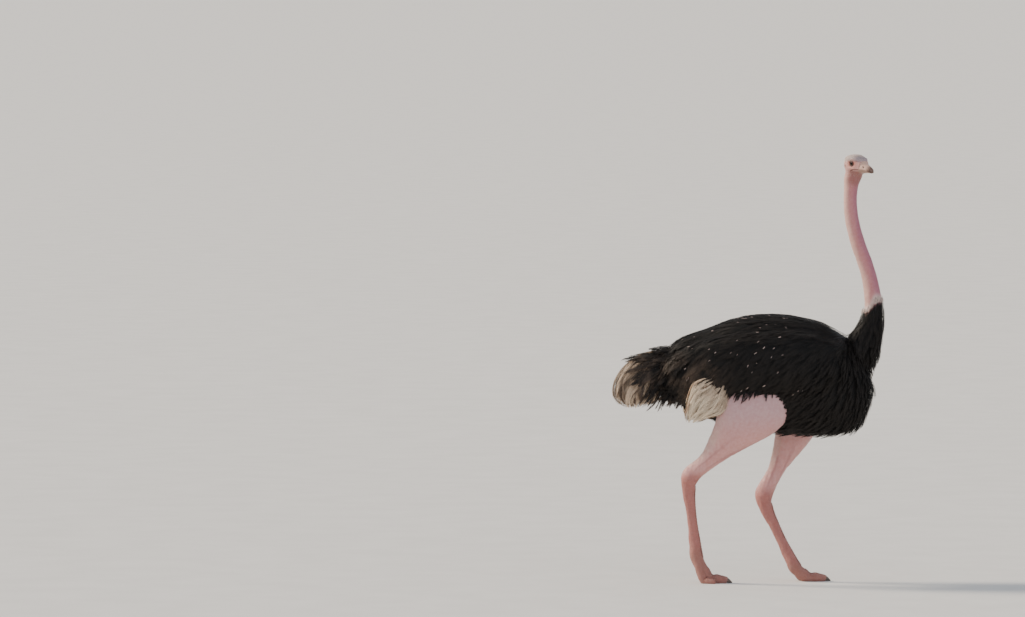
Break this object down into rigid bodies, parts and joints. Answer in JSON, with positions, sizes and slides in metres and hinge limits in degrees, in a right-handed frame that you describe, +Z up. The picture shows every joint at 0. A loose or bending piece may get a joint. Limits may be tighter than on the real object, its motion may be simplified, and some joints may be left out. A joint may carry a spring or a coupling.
{
  "type": "ostrich",
  "caption": "Life-size male ostrich walking with its head turned to its right: long bare neck, black plumage, white wing plumes, drooping tail and strong bare legs.",
  "frame": {"origin": "on the floor, under the middle of the bird's box", "axes": "+X the way the bird walks, +Y its left side, +Z up"},
  "size_m": [1.5212, 0.574, 2.4122],
  "materials": {
    "black_plume": "matte",
    "white_plume": "matte",
    "tail_plume": "matte",
    "neck_skin": "satin",
    "head_skin": "matte",
    "leg_skin": "satin",
    "shank_scute": "satin",
    "bill_horn": "satin",
    "claw_horn": "satin",
    "eye": "gloss"
  },
  "bodies": {
    "root": {"trunk": "black_plume", "wing_left": "black_plume", "wing_right": "black_plume", "wing_plumes_left": "white_plume", "wing_plumes_right": "white_plume", "tail": "tail_plume", "neck_base": "black_plume", "neck_lower": "neck_skin", "neck_upper": "neck_skin", "head": "head_skin", "bill_upper": "bill_horn", "bill_lower": "bill_horn", "eye_left": "eye", "eye_right": "eye", "thigh_left": "leg_skin", "thigh_right": "leg_skin", "drumstick_left": "leg_skin", "drumstick_right": "leg_skin", "shank_left": "shank_scute", "shank_right": "shank_scute", "toe_big_left": "shank_scute", "toe_big_right": "shank_scute", "toe_small_left": "shank_scute", "toe_small_right": "shank_scute", "claw_left": "claw_horn", "claw_right": "claw_horn"}
  },
  "joints": []
}
